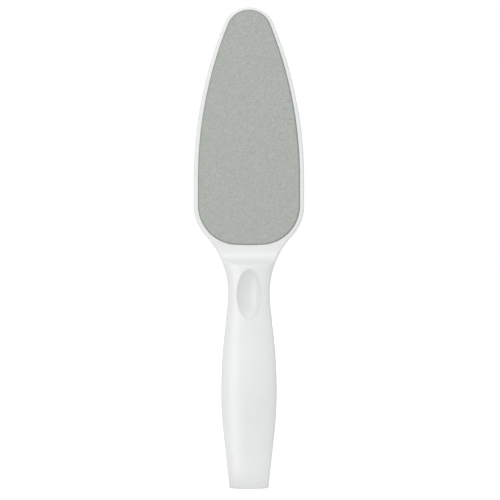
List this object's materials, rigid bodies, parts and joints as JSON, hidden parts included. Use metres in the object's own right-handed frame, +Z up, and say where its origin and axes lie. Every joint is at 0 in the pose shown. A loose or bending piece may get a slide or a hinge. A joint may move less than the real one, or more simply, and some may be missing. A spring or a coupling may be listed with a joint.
{
  "type": "foot file",
  "caption": "Hand-held foot file: a leaf-shaped paddle faced with abrasive pads, on a slim moulded handle with an oval thumb rest.",
  "frame": {"origin": "centre of the handle's flat butt, on the surface that the file stands on", "axes": "+Z up along the handle to the paddle's tip, X across the width, -Y out of the front face, with y = 0 at the parting plane"},
  "size_m": [0.0576, 0.017, 0.25],
  "materials": {
    "white_plastic": "satin",
    "adhesive_film": "satin",
    "grey_foam": "matte",
    "grey_grit": "matte"
  },
  "bodies": {
    "root": {"front_shell": "white_plastic", "back_shell": "white_plastic", "front_adhesive": "adhesive_film", "back_adhesive": "adhesive_film", "front_foam_pad": "grey_foam", "back_foam_pad": "grey_foam", "front_grit_sheet": "grey_grit", "back_grit_sheet": "grey_grit"}
  },
  "joints": []
}
